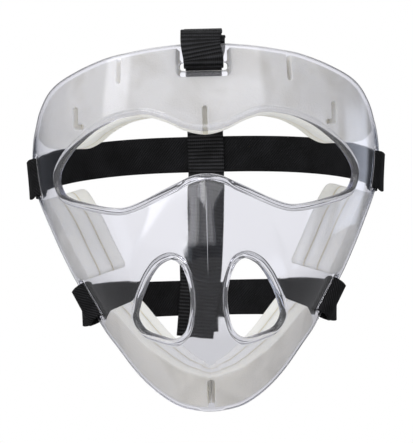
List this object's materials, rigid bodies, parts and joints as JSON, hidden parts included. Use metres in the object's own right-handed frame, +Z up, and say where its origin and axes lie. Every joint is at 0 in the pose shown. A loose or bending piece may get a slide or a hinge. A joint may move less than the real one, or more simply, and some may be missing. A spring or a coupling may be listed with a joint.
{
  "type": "field hockey face mask",
  "caption": "Clear moulded face mask with a wide eye opening, two breathing openings, foam pads and elastic bands with a webbing strap over the crown.",
  "frame": {"origin": "centre of the wearer's head, level with the lower rims of the eyes, 95 mm behind the outside of the forehead", "axes": "+X to the wearer's left, +Y from the face to the back of the head, +Z up"},
  "size_m": [0.1896, 0.2048, 0.1974],
  "materials": {
    "clear_shell": "clear polycarbonate, moulded and polished, faint blue tint",
    "white_foam": "closed-cell foam, cut edges, matt",
    "cream_foam": "closed-cell foam, yellowed, matt",
    "black_elastic": "woven elastic with a fine twill rib",
    "black_webbing": "nylon webbing with cross ribs",
    "hook_tape": "moulded nylon hook tape"
  },
  "bodies": {
    "mask": {"shell": "clear_shell", "forehead_pad_outer": "white_foam", "forehead_pad_inner": "cream_foam", "cheek_pad_left_outer": "white_foam", "cheek_pad_left_middle": "white_foam", "cheek_pad_left_inner": "white_foam", "cheek_pad_right_outer": "white_foam", "cheek_pad_right_middle": "white_foam", "cheek_pad_right_inner": "white_foam", "chin_pad_outer": "cream_foam", "chin_pad_middle": "white_foam", "chin_pad_inner": "white_foam", "upper_tape_left": "hook_tape", "upper_tape_right": "hook_tape", "lower_tape_left": "hook_tape", "lower_tape_right": "hook_tape", "crown_tape": "hook_tape"},
    "harness": {"upper_band": "black_elastic", "lower_band": "black_elastic", "crown_webbing": "black_webbing", "upper_keeper": "black_webbing", "lower_keeper": "black_webbing"}
  },
  "joints": [
    {"name": "harness_stretch", "type": "slide", "parent": "mask", "child": "harness", "axis": [0, 1, 0], "range_m": [0, 0.035], "stiffness_N_per_m": 80, "deforming": ["upper_band", "lower_band", "crown_webbing"]}
  ]
}
